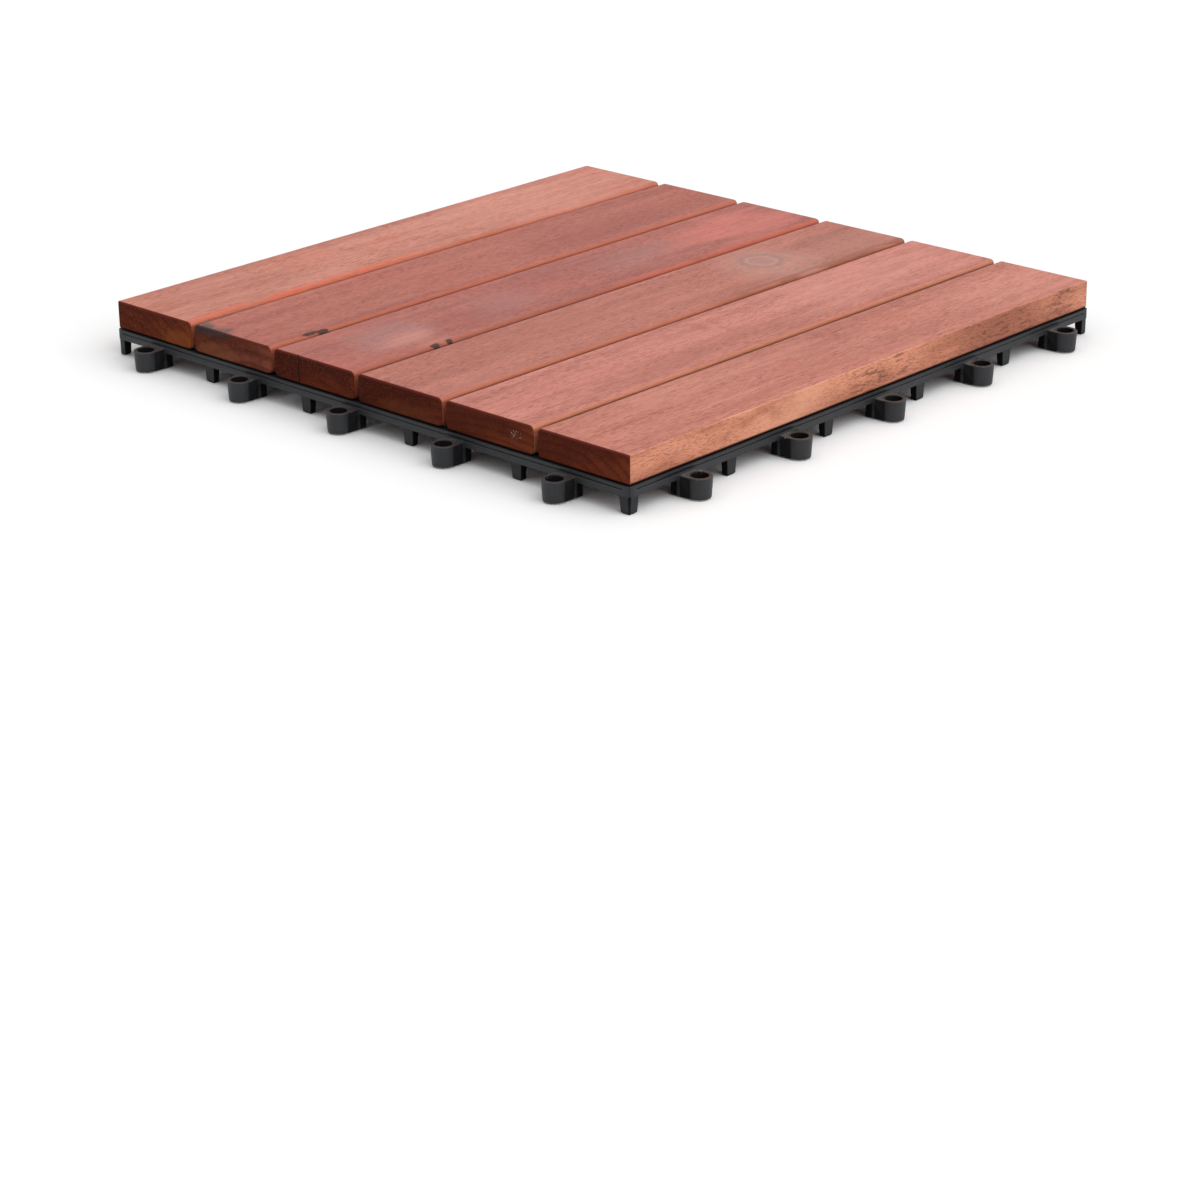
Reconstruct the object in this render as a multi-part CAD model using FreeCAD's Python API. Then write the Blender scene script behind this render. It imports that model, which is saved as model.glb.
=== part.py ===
import FreeCAD, Part
import math
import os

# Interlocking deck tile: six hardwood slats screwed from below to one moulded grid.
# Row frame in mm: X across the slats, Y along them, Z up, floor at z = 0, origin at the
# middle of the 300 mm module. The loops reach out on the -Y and +X sides, and the pegs
# that drop into the loops of the next tile hang under the +Y and -X sides.

V = FreeCAD.Vector
UP = V(0, 0, 1)
ORIGIN = V(0, 0, 0)
PAST = 1.0                  # how far cutters and joining parts reach past a face they cross
TINY = 1e-6                 # lengths this close count as equal

# module and heights
MODULE = 300.0              # laying pitch, also the outer side of the rail
HALF = MODULE / 2
CELLS = 5                   # loops or pegs on a side
CELL = MODULE / CELLS       # their pitch, and that of the feet between them
SEAT_Z = 12.0               # plane on which the slats lie
SLAT_THICKNESS = 12.0

# slats
SLAT_COUNT = 6
SLAT_MARGIN = 1.0           # wood set in from the face of the rail, on all sides
SLAT_LENGTH = MODULE - 2 * SLAT_MARGIN
SLAT_GAP = 2.6
SLAT_EDGE_RADIUS = 2.0      # long edges along the joints, above and below
OUTER_EDGE_RADIUS = 0.5     # long edges on the two sides of the tile, left nearly sharp
SLAT_END_EASE = 0.8         # sawn ends, broken edge
SLAT_WIDTH = (SLAT_LENGTH - (SLAT_COUNT - 1) * SLAT_GAP) / SLAT_COUNT
SLAT_PITCH = SLAT_WIDTH + SLAT_GAP

# outer rail
RAIL_TOP = 11.5
RAIL_HEIGHT = 4.3
RAIL_BOTTOM = RAIL_TOP - RAIL_HEIGHT
RAIL_THICKNESS = 4.0
RAIL_CORNER_RADIUS = 3.0
LIP_HEIGHT = 1.2            # lip above the line that runs round the rail
LINE_HEIGHT = 0.5
LINE_DEPTH = 0.3
LINE_END = 4.0              # the line stops this far before each corner
SLOT_LENGTH = 21.0          # deeper part of the line above each loop
SLOT_DEPTH = 1.6
SLOT_SHIFT = 4.0            # slot centre from the cell centre, towards the front corner
INNER_FACE = HALF - RAIL_THICKNESS

# ribs
RIB_THICKNESS = 2.0
RIB_BOTTOM = 7.2
RIB_PITCH = CELL / 2
RIB_COUNT = 2 * CELLS - 1   # ribs each way
STRIP_THICKNESS = 2.0       # flat strips that take the screws
STRIP_WIDTH = 12.0
STRIP_BOTTOM = SEAT_Z - STRIP_THICKNESS

# screws, driven up into the slats
SCREW_MARGIN = 47.0         # screw rows from the face of the rail
SCREW_ROWS = (SCREW_MARGIN - HALF, HALF - SCREW_MARGIN)
SCREW_SHANK_RADIUS = 1.6
SCREW_HEAD_RADIUS = 3.3
SCREW_HEAD_HEIGHT = 1.8
SCREW_HEAD_SIDES = 8        # heads and shanks are many-sided prisms
SCREW_SHANK_SIDES = 6
SCREW_BITE = 8.0            # length held in the slat
SCREW_CLEARANCE = 0.3       # round shanks and heads

# feet
FOOT_WIDTH_TOP = 5.6
FOOT_WIDTH_END = 4.6
FOOT_INSET = 0.5            # outer face of a foot behind the face of the rail
FOOT_DEPTH_TOP = RAIL_THICKNESS - FOOT_INSET
FOOT_DEPTH_END = 2.8
FOOT_END_EASE = 0.5
LEAN_IN = 0.3               # the outer face of a foot leans in by this much
FRONT_POST_TOP = 5.4        # post at the corner between the two sides with loops
FRONT_POST_END = 4.4
POST_TOP = 4.0              # posts at the other three corners
POST_END = 3.4
POST_CORNER_CUT = 1.2
INNER_FOOT_TOP = 6.4
INNER_FOOT_END = 4.8

# loops on the -Y and +X sides
LOOP_REACH = 6.2            # bore axis beyond the face of the rail
LOOP_SHIFT = 3.0            # bore axis from the cell centre, away from the front corner
LOOP_TOP = 9.2
LOOP_BOTTOM = 0.5
LOOP_RADIUS = 5.25
BORE_RADIUS = 3.55

# pegs on the +Y and -X sides
PEG_CLEARANCE = 0.35
PEG_RADIUS = BORE_RADIUS - PEG_CLEARANCE
PEG_END_Z = 1.6
PEG_PLATE_HALF = 10.0
LOOP_HEADROOM = 0.5         # room above the loop of the next tile
PLATE_BOTTOM = LOOP_TOP + LOOP_HEADROOM
LOOP_SIDE_ROOM = 0.6        # room beside the loop of the next tile


def spread(count, pitch):
    """Places of count items at one pitch, centred on the origin."""
    return [pitch * (i - (count - 1) / 2) for i in range(count)]


CELL_CENTRES = spread(CELLS, CELL)
FOOT_CENTRES = spread(CELLS - 1, CELL)
RIB_CENTRES = spread(RIB_COUNT, RIB_PITCH)
SLAT_CENTRES = spread(SLAT_COUNT, SLAT_PITCH)


def block(x0, x1, y0, y1, z0, z1):
    return Part.makeBox(x1 - x0, y1 - y0, z1 - z0, V(x0, y0, z0))


def polygon(points, z):
    return Part.makePolygon([V(x, y, z) for x, y in points] + [V(points[0][0], points[0][1], z)])


def prism(sides, radius, x, y, z0, z1):
    """Upright prism on a regular outline, radius measured to its corners."""
    turn = 2 * math.pi / sides
    corners = [(x + radius * math.cos(turn * i), y + radius * math.sin(turn * i)) for i in range(sides)]
    return Part.Face(polygon(corners, z0)).extrude(V(0, 0, z1 - z0))


def outline(mid, half, z):
    """Corners of an upright leg's section at height z."""
    return [V(mid[0] + i * half[0], mid[1] + j * half[1], z)
            for i, j in ((-1, -1), (1, -1), (1, 1), (-1, 1))]


def frustum(lower, upper):
    """Flat-sided solid between two four-cornered outlines with parallel sides."""
    rings = [lower, upper] + [[lower[i - 1], lower[i], upper[i], upper[i - 1]] for i in range(4)]
    faces = [Part.Face(Part.makePolygon(ring + ring[:1])) for ring in rings]
    solid = Part.makeSolid(Part.Shell(faces))
    if solid.Volume < 0:
        solid.reverse()
    return solid


def tapered_leg(half, end_half, mid, end_mid, z_top):
    """Leg of four flat faces from the floor up to z_top, with a broken lower edge."""
    share = FOOT_END_EASE / z_top
    ease_half = [e + (t - e) * share for t, e in zip(half, end_half)]
    ease_mid = [e + (t - e) * share for t, e in zip(mid, end_mid)]
    toe_half = [h - FOOT_END_EASE for h in end_half]
    knee = outline(ease_mid, ease_half, FOOT_END_EASE)
    toe = frustum(outline(end_mid, toe_half, 0.0), knee)
    return toe.fuse(frustum(knee, outline(mid, half, z_top)))


def turned(shape, quarter_turns):
    copy = shape.copy()
    copy.rotate(ORIGIN, UP, 90.0 * quarter_turns)
    return copy


def rail():
    """Rail round the module, with a fine line under the lip of each side."""
    body = block(-HALF, HALF, -HALF, HALF, RAIL_BOTTOM, RAIL_TOP)
    upright = [e for e in body.Edges if abs(e.BoundBox.ZLength - RAIL_HEIGHT) < TINY]
    body = body.makeFillet(RAIL_CORNER_RADIUS, upright)
    body = body.cut(block(-INNER_FACE, INNER_FACE, -INNER_FACE, INNER_FACE, RAIL_BOTTOM, RAIL_TOP))
    line_top = RAIL_TOP - LIP_HEIGHT
    line = block(-HALF + LINE_END, HALF - LINE_END, -HALF - PAST, -HALF + LINE_DEPTH,
                 line_top - LINE_HEIGHT, line_top)
    return body.cut(Part.makeCompound([turned(line, k) for k in range(4)]))


def ribs():
    """Square grid of ribs and the flat strips for the screws."""
    parts = []
    half = RIB_THICKNESS / 2
    strip = STRIP_WIDTH / 2
    for c in RIB_CENTRES:
        rib = block(-INNER_FACE, INNER_FACE, c - half, c + half, RIB_BOTTOM, SEAT_Z)
        parts += [rib, turned(rib, 1)]
    for row in SCREW_ROWS:
        parts.append(block(-INNER_FACE, INNER_FACE, row - strip, row + strip, STRIP_BOTTOM, SEAT_Z))
    return parts


def feet():
    """Feet under the rail, posts at its corners and feet under every other crossing."""
    parts = []
    outer = -HALF + FOOT_INSET
    leg = tapered_leg((FOOT_WIDTH_TOP / 2, FOOT_DEPTH_TOP / 2), (FOOT_WIDTH_END / 2, FOOT_DEPTH_END / 2),
                      (0, outer + FOOT_DEPTH_TOP / 2), (0, outer + LEAN_IN + FOOT_DEPTH_END / 2), RAIL_BOTTOM)
    for c in FOOT_CENTRES:
        parts += [turned(leg.translated(V(c, 0, 0)), k) for k in range(4)]
    # the outer edge of every post is cut off flat
    corner = polygon([(outer - PAST, outer - PAST), (outer + POST_CORNER_CUT + PAST, outer - PAST),
                      (outer - PAST, outer + POST_CORNER_CUT + PAST)], 0.0)
    cut = Part.Face(corner).extrude(V(0, 0, RAIL_BOTTOM))
    for k, top, end in ((0, POST_TOP, POST_END), (1, FRONT_POST_TOP, FRONT_POST_END),
                        (2, POST_TOP, POST_END), (3, POST_TOP, POST_END)):
        post = tapered_leg((top / 2,) * 2, (end / 2,) * 2, (outer + top / 2,) * 2,
                           (outer + LEAN_IN + end / 2,) * 2, RAIL_BOTTOM)
        parts.append(turned(post.cut(cut), k))
    for i, x in enumerate(CELL_CENTRES):
        # every other crossing, row by row
        for y in CELL_CENTRES[i % 2::2]:
            parts.append(frustum(outline((x, y), (INNER_FOOT_END / 2,) * 2, 0.0),
                                 outline((x, y), (INNER_FOOT_TOP / 2,) * 2, RIB_BOTTOM)))
    return parts


def loop(shift_sign):
    """Loop on the -Y side of the cell at x = 0: a round end on an arm as wide as itself."""
    axis_x = -shift_sign * LOOP_SHIFT
    axis_y = -HALF - LOOP_REACH
    height = LOOP_TOP - LOOP_BOTTOM
    end = Part.makeCylinder(LOOP_RADIUS, height, V(axis_x, axis_y, LOOP_BOTTOM), UP)
    arm = block(axis_x - LOOP_RADIUS, axis_x + LOOP_RADIUS, axis_y, -INNER_FACE, LOOP_BOTTOM, LOOP_TOP)
    return end.fuse(arm).cut(Part.makeCylinder(BORE_RADIUS, height, V(axis_x, axis_y, LOOP_BOTTOM), UP))


def slot(shift_sign):
    """Slot under the lip of the rail above a loop of the -Y side."""
    centre = shift_sign * SLOT_SHIFT
    top = RAIL_TOP - LIP_HEIGHT
    return block(centre - SLOT_LENGTH / 2, centre + SLOT_LENGTH / 2,
                 -HALF - PAST, -HALF + SLOT_DEPTH, top - LINE_HEIGHT, top)


def peg(shift_sign):
    """Peg under the +Y side, on the plate between the outer rib and the lip of the rail."""
    pin = Part.makeCylinder(PEG_RADIUS, RAIL_TOP - PEG_END_Z,
                            V(-shift_sign * LOOP_SHIFT, HALF - LOOP_REACH, PEG_END_Z), UP)
    plate = block(-PEG_PLATE_HALF, PEG_PLATE_HALF, RIB_CENTRES[-1], INNER_FACE + PAST,
                  PLATE_BOTTOM, RAIL_TOP)
    return [pin, plate]


def loop_room(shift_sign):
    """Space that the loop of the next tile takes up under the +Y side."""
    outer = LOOP_RADIUS + LOOP_SIDE_ROOM
    axis_x = -shift_sign * LOOP_SHIFT
    return block(axis_x - outer, axis_x + outer, HALF - LOOP_REACH - outer, HALF + PAST,
                 -PAST, PLATE_BOTTOM)


def screw_places():
    return [(x, y) for y in SCREW_ROWS for x in SLAT_CENTRES]


def base_grid():
    solids = [rail()] + ribs() + feet()
    body = solids[0].multiFuse(solids[1:])
    cutters = []
    added = []
    for c in CELL_CENTRES:
        # the same connector stands on two sides, mirrored about the front corner
        for shift_sign, turns in ((1, 0), (-1, 1)):
            for shape, kind in [(loop(shift_sign), "add"), (slot(shift_sign), "cut"),
                                (loop_room(shift_sign), "cut")] + [(p, "peg") for p in peg(shift_sign)]:
                shape.translate(V(c, 0, 0))
                shape = turned(shape, turns)
                (cutters if kind == "cut" else added).append(shape)
    body = body.cut(Part.makeCompound(cutters)).multiFuse(added)
    # room for every screw: the hole through the strip and the space its head comes up through
    shank_room = SCREW_SHANK_RADIUS + SCREW_CLEARANCE
    head_room = SCREW_HEAD_RADIUS + SCREW_CLEARANCE
    rooms = [prism(SCREW_SHANK_SIDES, shank_room, x, y, 0, SEAT_Z) for x, y in screw_places()]
    rooms += [prism(SCREW_HEAD_SIDES, head_room, x, y, 0, STRIP_BOTTOM) for x, y in screw_places()]
    return body.cut(Part.makeCompound(rooms)).removeSplitter()


def slat(x):
    """Slat with rounded long edges, eased ends and blind holes for its screws."""
    top = SEAT_Z + SLAT_THICKNESS
    half_width = SLAT_WIDTH / 2
    half_length = SLAT_LENGTH / 2
    body = block(x - half_width, x + half_width, -half_length, half_length, SEAT_Z, top)
    for outermost, radius in ((False, SLAT_EDGE_RADIUS), (True, OUTER_EDGE_RADIUS)):
        edges = [e for e in body.Edges if abs(e.BoundBox.YLength - SLAT_LENGTH) < TINY
                 and (abs(e.CenterOfMass.x) > HALF - 2 * SLAT_MARGIN) == outermost]
        if edges:
            body = body.makeFillet(radius, edges)
    # the sawn ends are eased above and below by the outline of the slat's side
    ease = SLAT_END_EASE
    side = polygon([(SEAT_Z, -half_length + ease), (SEAT_Z + ease, -half_length),
                    (top - ease, -half_length), (top, -half_length + ease),
                    (top, half_length - ease), (top - ease, half_length),
                    (SEAT_Z + ease, half_length), (SEAT_Z, half_length - ease)], 0)
    side.rotate(ORIGIN, V(0, 1, 0), -90)
    side.translate(V(x - half_width, 0, 0))
    body = body.common(Part.Face(side).extrude(V(SLAT_WIDTH, 0, 0)))
    for y in SCREW_ROWS:
        body = body.cut(prism(SCREW_SHANK_SIDES, SCREW_SHANK_RADIUS, x, y, SEAT_Z, SEAT_Z + SCREW_BITE))
    return body


def screw(x, y):
    """Screw with a flat head against the underside of its strip, driven up into the slat."""
    head = prism(SCREW_HEAD_SIDES, SCREW_HEAD_RADIUS, x, y, STRIP_BOTTOM - SCREW_HEAD_HEIGHT, STRIP_BOTTOM)
    shank = prism(SCREW_SHANK_SIDES, SCREW_SHANK_RADIUS, x, y, STRIP_BOTTOM, SEAT_Z + SCREW_BITE)
    return head.fuse(shank)


def save(name, shape):
    shape.exportStep(os.path.join("parts", name + ".step"))
    print(name, "solids", len(shape.Solids), "valid", shape.isValid(),
          "volume", round(shape.Volume, 1))


os.makedirs("parts", exist_ok=True)
save("base_grid", base_grid())
for number, centre in enumerate(SLAT_CENTRES, start=1):
    save("slat_%d" % number, slat(centre))
save("screws", Part.makeCompound([screw(x, y) for x, y in screw_places()]))
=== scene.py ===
import math

import bmesh
import bpy
from bpy.props import (CollectionProperty, FloatProperty, FloatVectorProperty, IntProperty,
                       PointerProperty)
from mathutils import Matrix, Vector, noise


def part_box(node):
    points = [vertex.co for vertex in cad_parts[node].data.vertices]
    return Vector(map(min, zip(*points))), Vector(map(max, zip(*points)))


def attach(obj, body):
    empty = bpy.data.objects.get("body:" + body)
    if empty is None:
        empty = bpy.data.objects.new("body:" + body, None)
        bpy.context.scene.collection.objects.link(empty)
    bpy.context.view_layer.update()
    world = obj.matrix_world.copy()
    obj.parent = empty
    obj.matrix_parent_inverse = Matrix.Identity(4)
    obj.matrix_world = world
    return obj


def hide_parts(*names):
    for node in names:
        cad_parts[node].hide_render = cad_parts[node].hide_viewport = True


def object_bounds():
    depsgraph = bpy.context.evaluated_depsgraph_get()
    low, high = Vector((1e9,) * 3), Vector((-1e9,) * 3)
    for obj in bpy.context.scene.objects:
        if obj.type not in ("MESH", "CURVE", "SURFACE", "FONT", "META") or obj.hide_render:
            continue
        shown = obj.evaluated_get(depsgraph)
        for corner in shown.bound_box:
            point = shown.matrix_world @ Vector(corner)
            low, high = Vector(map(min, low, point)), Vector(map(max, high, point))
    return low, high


bl_info = {
    "name": "Deck tile",
    "version": (1, 0, 0),
    "blender": (4, 5, 0),
    "location": "View3D > Sidebar > Deck tile",
    "description": "Looks of an interlocking deck tile: hardwood slats on a moulded plastic grid",
    "category": "Object",
}

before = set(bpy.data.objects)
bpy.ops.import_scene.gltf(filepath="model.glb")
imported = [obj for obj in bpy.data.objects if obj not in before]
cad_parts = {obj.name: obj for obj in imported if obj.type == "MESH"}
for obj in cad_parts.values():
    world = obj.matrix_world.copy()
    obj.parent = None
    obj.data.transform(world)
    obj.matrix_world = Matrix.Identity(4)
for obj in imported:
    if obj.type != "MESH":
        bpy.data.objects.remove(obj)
CAD_BOX = [[float(v) for v in corner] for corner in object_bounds()]

# The frame is in metres, with X across the slats, Y along them and Z up.
MM = 0.001
SAME = 1e-6                     # places closer than this are one place
NEARLY_SAME = 1e-7              # the same for the finest cuts
FLAT = math.radians(0.5)        # faces that meet at less than this are one face
SLATS = ["slat_%d" % n for n in range(1, 7)]
SEAT_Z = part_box("slat_1")[0][2]     # the plane on which the slats lie
HALF = -CAD_BOX[0][0]               # the rail's outer face from the middle of the tile

# The same places in millimetres, in which the materials work.
RAIL_FACE = HALF / MM
NEAR_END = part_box("slat_1")[0][1] / MM
SLAT_LOW = SEAT_Z / MM
SLAT_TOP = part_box("slat_1")[1][2] / MM
IN_BORE = (3.58, 3.8)           # from a bore's axis: inside the bore, and out on its rim

# Where the arrises of a slat wander, and how quickly.
ARRIS_FROM = 0.86               # share of the slat's half width beyond which they may
STRAIGHT_END = 2 * MM           # they stay straight this close to the sawn ends
SWAYS_ALONG = 24                # waves to a metre along the slat
SWAYS_UP = 60                   # and upwards

# What belongs to the loops of the grid.
PAST_RAIL = 0.4 * MM            # all that reaches further out than this
LEVEL = 0.01 * MM               # a level edge rises less than this
UPPER_RIM = 9.0 * MM            # the upper rims lie above this
LOWER_RIM = 0.8 * MM            # and the lower rims below this
BARREL = (4.5 * MM, 6.2 * MM)   # the round outside lies this far from the bore's axis
BARREL_BACK = 1.0 * MM          # and reaches this far back behind the axis

FLOOR_HALF = 6.0                # half the floor's side
FLOOR_DROP = 0.05 * MM          # the floor lies this much under the feet


class Value:
    """A number socket that can stand in a Python expression."""

    def __init__(self, nodes, socket):
        self.nodes = nodes
        self.socket = socket

    def math(self, operation, *others):
        node = self.nodes.add("ShaderNodeMath", {"operation": operation},
                              {i: v for i, v in enumerate((self,) + others)})
        return Value(self.nodes, node.outputs[0])

    def reflected(self, operation, other):
        node = self.nodes.add("ShaderNodeMath", {"operation": operation}, {0: other, 1: self})
        return Value(self.nodes, node.outputs[0])

    def __add__(self, other):
        return self.math("ADD", other)

    def __radd__(self, other):
        return self.math("ADD", other)

    def __sub__(self, other):
        return self.math("SUBTRACT", other)

    def __rsub__(self, other):
        return self.reflected("SUBTRACT", other)

    def __mul__(self, other):
        return self.math("MULTIPLY", other)

    def __rmul__(self, other):
        return self.math("MULTIPLY", other)

    def __truediv__(self, other):
        return self.math("DIVIDE", other)

    def __abs__(self):
        return self.math("ABSOLUTE")

    def clamp(self):
        node = self.nodes.add("ShaderNodeClamp", {}, {"Value": self})
        return Value(self.nodes, node.outputs[0])

    def rise(self, low, high):
        """0 below low, 1 above high, and smooth between."""
        node = self.nodes.add("ShaderNodeMapRange", {"interpolation_type": "SMOOTHSTEP"},
                              {"Value": self, "From Min": low, "From Max": high})
        return Value(self.nodes, node.outputs[0])

    def fall(self, low, high):
        return 1.0 - self.rise(low, high)

    def near(self, middle, half):
        """1 at the middle and 0 further than half from it, smooth between."""
        return abs(self - middle).fall(0.0, half)


class Nodes:
    """The nodes of one material or world."""

    def __init__(self, tree, material=None):
        self.tree = tree
        self.tree.nodes.clear()
        self.material = material
        self.dull = None

    def add(self, kind, settings=None, inputs=None):
        node = self.tree.nodes.new(kind)
        for key, value in (settings or {}).items():
            setattr(node, key, value)
        for key, value in (inputs or {}).items():
            if isinstance(value, Value):
                value = value.socket
            if isinstance(value, bpy.types.NodeSocket):
                self.tree.links.new(value, node.inputs[key])
            elif node.inputs[key].type == "RGBA":
                node.inputs[key].default_value = (*value[:3], 1.0)
            else:
                node.inputs[key].default_value = value
        return node

    def measure(self):
        """Makes the object's own coordinates ready, in millimetres."""
        place = self.add("ShaderNodeTexCoord")
        scaled = self.add("ShaderNodeVectorMath", {"operation": "SCALE"},
                          {0: place.outputs["Object"], "Scale": 1 / MM})
        self.place = scaled.outputs[0]
        parts = self.add("ShaderNodeSeparateXYZ", {}, {0: self.place})
        self.x, self.y, self.z = (Value(self, s) for s in parts.outputs)

    def cloud(self, stretch, seed=0.0, detail=3.0, rough=0.5, warp=0.0):
        """Noise in millimetres: stretch gives the size of a blotch along X, Y and Z."""
        scale = tuple(1.0 / s for s in stretch)
        moved = (seed, seed * 1.7, seed * 0.6)
        mapped = self.add("ShaderNodeMapping", {},
                          {"Vector": self.place, "Location": moved, "Scale": scale})
        node = self.add("ShaderNodeTexNoise", {},
                        {"Vector": mapped.outputs[0], "Scale": 1.0, "Detail": detail,
                         "Roughness": rough, "Distortion": warp})
        return Value(self, node.outputs["Fac"])

    def blend(self, factor, first, second):
        """Colour mix of two colours or sockets."""
        node = self.add("ShaderNodeMix", {"data_type": "RGBA"}, {0: factor, 6: first, 7: second})
        return node.outputs[2]

    def seen_directly(self):
        """1 for what the camera, a mirror or clear glass sees, 0 for light thrown elsewhere."""
        path = self.add("ShaderNodeLightPath")
        seen = Value(self, path.outputs["Is Camera Ray"])
        for other in ("Is Glossy Ray", "Is Transmission Ray"):
            seen = seen.math("MAXIMUM", Value(self, path.outputs[other]))
        return seen

    def finish(self, colour, roughness, height, depth, constants):
        """Principled surface: height in 0 to 1 becomes a bump of depth metres.

        The setting for painted shade, where it is set, is the share of a second coat and the second
        coat's specular level; that less glossy coat paints shade into the reflections.
        """
        bump = self.add("ShaderNodeBump", {},
                        {"Strength": 1.0, "Distance": depth, "Height": height})
        inputs = {"Base Color": colour, "Roughness": roughness, "Normal": bump.outputs[0]}
        inputs.update(constants)
        shader = self.add("ShaderNodeBsdfPrincipled", {}, inputs).outputs[0]
        if self.dull:
            share, inputs["Specular IOR Level"] = self.dull
            matt = self.add("ShaderNodeBsdfPrincipled", {}, inputs).outputs[0]
            shader = self.add("ShaderNodeMixShader", {}, {0: share, 1: shader, 2: matt}).outputs[0]
        self.add("ShaderNodeOutputMaterial", {}, {"Surface": shader})
        return self.material


def material_nodes(name):
    """Nodes of a new material, measured in millimetres."""
    material = bpy.data.materials.new(name)
    material.use_nodes = True
    nodes = Nodes(material.node_tree, material)
    nodes.measure()
    return nodes


def rings(n, across, look):
    """Distance from the pith in rings, and the dark late wood in each of them."""
    wave = n.cloud((24, 90, 24), seed=look.seed + 7, detail=2.0)
    pith_x = across - look.pith[0] + (wave - 0.5) * 12
    pith_z = n.z - look.pith[1]
    reach = (pith_x * pith_x + pith_z * pith_z).math("SQRT")
    uneven = n.cloud((30, 240, 30), seed=look.seed + 11) * 1.6
    turn = (reach / look.ring_pitch + uneven).math("FRACT")
    return turn.rise(0.35, 0.85) * turn.fall(0.9, 1.0)


def hardwood(name, centre, half_width, outward, look, marks):
    """Oiled reddish hardwood with its grain along Y.

    outward is -1 or 1 where one long side is the tile's plain sawn side, and 0 where both sides are
    rounded. marks adds what one slat alone shows.
    """
    n = material_nodes(name)
    seed = look.seed
    across = n.x - centre
    side = across * -outward if outward else abs(across)
    # broad bands, finer streaks, fibres and a soft mottle, all longer along the grain
    band = n.cloud((13, 190, 13), seed=seed, detail=2.0, warp=0.4)
    streak = n.cloud((3.2, 75, 3.2), seed=seed + 3, detail=2.0, warp=0.2)
    fibre = n.cloud((0.8, 20, 0.8), seed=seed + 5, detail=2.0)
    mottle = n.cloud((3.6, 9, 3.6), seed=seed + 9, detail=3.0)
    blotch = n.cloud((20, 60, 20), seed=seed + 15, detail=2.0)
    # open pores: short dark dashes along the grain, crowded in some places
    crowd = n.cloud((8, 40, 8), seed=seed + 17).rise(0.3, 0.62)
    dash = n.cloud((0.42, 3.8, 0.42), seed=seed + 13, detail=1.0).rise(0.5, 0.66)
    line = n.cloud((0.8, 12, 0.8), seed=seed + 19, detail=1.0).rise(0.56, 0.72)
    pores = dash * (0.4 + crowd * 0.6)
    fine = n.cloud((0.7, 2.2, 0.7), seed=seed + 43, detail=2.0)
    tone = band * 0.5 + streak * 0.3 + mottle * 0.25 + fine * 0.2 - 0.05
    colour = n.blend(tone.rise(0.43, 0.7), look.dark, look.light)
    colour = n.blend(blotch.rise(0.48, 0.75) * 0.6, colour, look.warm)
    colour = n.blend(rings(n, across, look) * look.ring_strength, colour, look.deep)
    colour = n.blend(fibre.rise(0.4, 0.75) * 0.16, colour, look.deep)
    colour = n.blend(pores * look.pore_strength + line * 0.18, colour, look.deep)
    # rounded edges along the joints keep more oil; the walls below them are darker, partly from oil
    # and partly as painted shade, deepest inside the joints and lighter where they open at the near
    # end
    edge = side + (n.cloud((6, 30, 6), seed=seed + 21) - 0.5) * 1.2
    edge = edge.rise(half_width - 1.9, half_width - 0.7)
    colour = n.blend(edge * look.edge_strength, colour, look.edge)
    joint_shade_and_fleck = side.rise(half_width - 0.7, half_width - 0.15)
    joint_shade_and_fleck = joint_shade_and_fleck * n.z.fall(SLAT_TOP - 2.5, SLAT_TOP - 1.0)
    opening = n.y.fall(NEAR_END + 2.0, NEAR_END + 13.0)
    colour = n.blend(joint_shade_and_fleck * (0.9 - 0.6 * opening), colour, look.joint_shade_and_fleck)
    if outward:
        colour = sawn_side(n, across * outward, half_width, look, tone, colour)
    # the marks of one slat are on its face and not on its underside
    plain = colour
    for mark in marks:
        colour = mark(n, across, colour)
    colour = n.blend(n.z.rise(SLAT_LOW + 1.0, SLAT_LOW + 3.0), plain, colour)
    rough = 0.44 + 0.16 * streak + pores * 0.2
    height = 0.5 + fibre * 0.2 + streak * 0.15 + mottle * 0.1 - dash * 0.3 - line * 0.25
    return n.finish(colour, rough, height, 0.18 * MM, {"IOR": 1.47, "Specular IOR Level": 0.3})


def sawn_side(n, outer, half_width, look, tone, colour):
    """Plain long side of an outer slat: paler, with fine dark dashes and clusters of flecks."""
    seed = look.seed
    dash = n.cloud((0.6, 2.6, 0.42), seed=seed + 25, detail=2.0).rise(0.5, 0.66)
    fleck = n.cloud((2.0, 6.0, 1.3), seed=seed + 23, detail=4.0, rough=0.65).rise(0.5, 0.62)
    # the flecks crowd in three places along the side
    crowd = n.y.near(4, 34) + n.y.near(84, 46) * 0.8 + n.y.near(130, 18) * 0.8
    fleck = fleck * (crowd * 0.9 + n.cloud((30, 30, 9), seed=seed + 29) - 0.5).rise(0.1, 0.6)
    shade = n.cloud((30, 32, 8), seed=seed + 27, detail=3.0) - n.y.near(84, 62) * 0.42
    sawn = n.blend((tone * 0.6 + shade - 0.3).rise(0.3, 0.75), look.flank_dark, look.flank_light)
    sawn = n.blend(dash * 0.5, sawn, look.deep)
    # one stretch is browner and one paler than the rest
    sawn = n.blend(n.y.near(84, 40) * 0.3, sawn, look.deep)
    sawn = n.blend(n.y.near(-54, 46) * shade.rise(0.3, 0.6) * 0.7, sawn, look.flank_pale)
    sawn = n.blend(fleck * 0.62, sawn, look.joint_shade_and_fleck)
    # painted shade: the lowest millimetre of the sawn side is painted nearly black, as the shade
    # just above the rail
    sawn = n.blend(n.z.fall(SLAT_LOW + 0.3, SLAT_LOW + 1.1) * 0.9, sawn, look.end_rings_and_shade)
    return n.blend(outer.rise(half_width - 0.6, half_width - 0.15), colour, sawn)


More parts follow.
